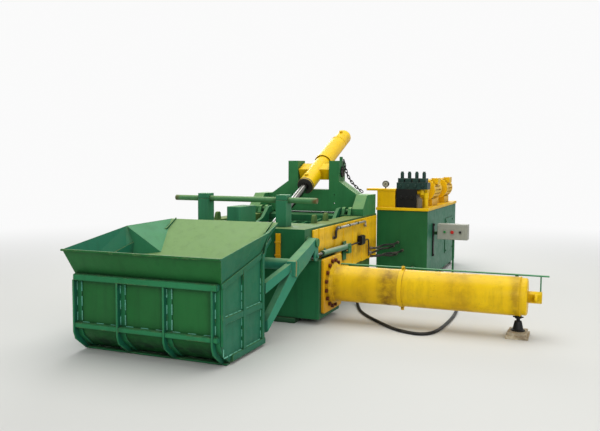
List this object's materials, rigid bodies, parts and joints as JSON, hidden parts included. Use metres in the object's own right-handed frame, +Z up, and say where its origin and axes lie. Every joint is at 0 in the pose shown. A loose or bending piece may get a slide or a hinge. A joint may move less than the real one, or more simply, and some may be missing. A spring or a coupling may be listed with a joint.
{
  "type": "recycling_baler",
  "caption": "Green and yellow hydraulic scrap baler with a tipping loading bucket, long main cylinder, lid cylinder on a tower and a rear power pack.",
  "frame": {"origin": "floor level under the front face of the press chamber, on the centre plane of the charging box", "axes": "X along the main cylinder to its end, Y away from the bucket along the charging box, Z up"},
  "size_m": [3.672, 6.532, 1.9941],
  "materials": {
    "base_steel": "dirty green paint over steel",
    "green_old": "worn dirty green paint",
    "green_paint": "green machine paint, scuffed",
    "wall_yellow": "dirty yellow and green paint",
    "yellow_paint": "yellow machine paint, stained",
    "cylinder_yellow": "bright yellow paint, smeared and stained",
    "worn_steel": "bare worn steel with rust",
    "black_steel": "black paint",
    "timber": "rough sawn timber",
    "bare_steel": "bare pipe",
    "hose_rubber": "black rubber",
    "bucket_green": "green paint, scraped and dusty",
    "chrome_rod": "hard chrome",
    "tank_green": "green paint",
    "dark_green": "dark green paint",
    "grey_brown": "grey brown paint",
    "grey_paint": "light grey paint",
    "button_green": "moulded plastic",
    "button_red": "moulded plastic",
    "button_black": "moulded plastic"
  },
  "bodies": {
    "frame": {"feet": "base_steel", "chamber_block": "green_old", "front_header": "green_paint", "side_walls": "wall_yellow", "wall_skins": "yellow_paint", "box_floor": "worn_steel", "rear_frame": "green_old", "bar_posts": "green_paint", "cross_bar": "green_paint", "centre_block": "green_paint", "front_conduit": "yellow_paint", "tower": "green_paint", "hinge_brackets": "green_old", "trunnion_caps": "black_steel", "chain": "black_steel", "flange_plate": "yellow_paint", "flange_bolts": "worn_steel", "main_barrel": "cylinder_yellow", "band_clamp": "cylinder_yellow", "cylinder_rail": "green_paint", "screw_jack": "black_steel", "wood_blocks": "timber", "ram_barrel": "green_old", "door_guides": "green_old", "junction_box": "black_steel", "wall_pipe": "bare_steel", "feed_pipes": "hose_rubber", "tilt_mounts": "green_old", "tank": "tank_green", "tank_deck": "yellow_paint", "gauge_case": "black_steel", "manifold": "black_steel", "valve_stack": "dark_green", "suction_pipe": "yellow_paint", "filter_canister": "grey_brown", "pump_motor": "yellow_paint", "level_gauge": "black_steel", "control_box": "grey_paint", "control_bracket": "tank_green", "floor_hose": "hose_rubber"},
    "bucket": {"bucket_shell": "bucket_green", "bucket_ribs": "bucket_green", "bucket_rim": "bucket_green", "bucket_arms": "green_paint"},
    "lid_body": {"lid": "green_old"},
    "lid_cylinder": {"lid_barrel": "cylinder_yellow", "lid_guard": "cylinder_yellow"},
    "lid_piston": {"lid_rod": "chrome_rod"},
    "tilt_cyl_right": {"tilt_barrel_r": "green_paint"},
    "tilt_cyl_left": {"tilt_barrel_l": "green_paint"},
    "tilt_piston_right": {"tilt_rod_r": "chrome_rod"},
    "tilt_piston_left": {"tilt_rod_l": "chrome_rod"},
    "platen": {"main_ram": "worn_steel"},
    "charging_ram": {"charge_ram": "worn_steel"},
    "ejection_door": {"door": "green_old"},
    "jack_head": {"jack_screw": "worn_steel"},
    "needle": {"gauge_needle": "black_steel"},
    "start_push": {"start_button": "button_green"},
    "stop_push": {"stop_button": "button_red"},
    "jog_push": {"jog_button": "button_black"}
  },
  "joints": [
    {"name": "bucket_tip", "type": "hinge", "parent": "frame", "child": "bucket", "pos_m": [0, -0.08, 0.79], "axis": [-1, 0, 0], "range_deg": [0, 65]},
    {"name": "tilt_swing_right", "type": "hinge", "parent": "frame", "child": "tilt_cyl_right", "pos_m": [0.79, 0.93, 0.645], "axis": [-1, 0, 0], "range_deg": [0, 3.56]},
    {"name": "tilt_swing_left", "type": "hinge", "parent": "frame", "child": "tilt_cyl_left", "pos_m": [-0.79, 0.93, 0.645], "axis": [-1, 0, 0], "range_deg": [0, 3.56]},
    {"name": "tilt_stroke_right", "type": "slide", "parent": "tilt_cyl_right", "child": "tilt_piston_right", "axis": [0, -0.9998, 0.0198], "range_m": [0, 0.117]},
    {"name": "tilt_stroke_left", "type": "slide", "parent": "tilt_cyl_left", "child": "tilt_piston_left", "axis": [0, -0.9998, 0.0198], "range_m": [0, 0.117]},
    {"name": "lid_open", "type": "hinge", "parent": "frame", "child": "lid_body", "pos_m": [0, 1.71, 0.965], "axis": [-1, 0, 0], "range_deg": [0, 75]},
    {"name": "lid_swing", "type": "hinge", "parent": "frame", "child": "lid_cylinder", "pos_m": [0, 2.09, 1.426], "axis": [-1, 0, 0], "range_deg": [0, 56.6]},
    {"name": "lid_stroke", "type": "slide", "parent": "lid_cylinder", "child": "lid_piston", "axis": [0, 0.9135, 0.4067], "range_m": [0, 0.603]},
    {"name": "platen_press", "type": "slide", "parent": "frame", "child": "platen", "axis": [-1, 0, 0], "range_m": [0, 0.88]},
    {"name": "ram_charge", "type": "slide", "parent": "frame", "child": "charging_ram", "axis": [0, -1, 0], "range_m": [0, 0.96]},
    {"name": "door_slide", "type": "slide", "parent": "frame", "child": "ejection_door", "axis": [0, 1, 0], "range_m": [0, 0.34]},
    {"name": "jack_lower", "type": "slide", "parent": "frame", "child": "jack_head", "axis": [0, 0, -1], "range_m": [0, 0.02]},
    {"name": "needle_turn", "type": "hinge", "parent": "frame", "child": "needle", "pos_m": [0.735, 2.673, 1.268], "axis": [0, 1, 0], "range_deg": [0, 270]},
    {"name": "start_press", "type": "slide", "parent": "frame", "child": "start_push", "axis": [0, 1, 0], "range_m": [0, 0.004], "stiffness_N_per_m": 800},
    {"name": "stop_press", "type": "slide", "parent": "frame", "child": "stop_push", "axis": [0, 1, 0], "range_m": [0, 0.006], "stiffness_N_per_m": 800},
    {"name": "jog_press", "type": "slide", "parent": "frame", "child": "jog_push", "axis": [0, 1, 0], "range_m": [0, 0.004], "stiffness_N_per_m": 800}
  ],
  "couplings": [
    {"joint": "tilt_swing_right", "follows": "bucket_tip", "ratio": 0.054716},
    {"joint": "tilt_swing_left", "follows": "bucket_tip", "ratio": 0.054716},
    {"joint": "tilt_stroke_right", "follows": "bucket_tip", "m_per_rad": 0.10301},
    {"joint": "tilt_stroke_left", "follows": "bucket_tip", "m_per_rad": 0.10301},
    {"joint": "lid_swing", "follows": "lid_open", "ratio": 0.75388},
    {"joint": "lid_stroke", "follows": "lid_open", "m_per_rad": 0.45987}
  ]
}
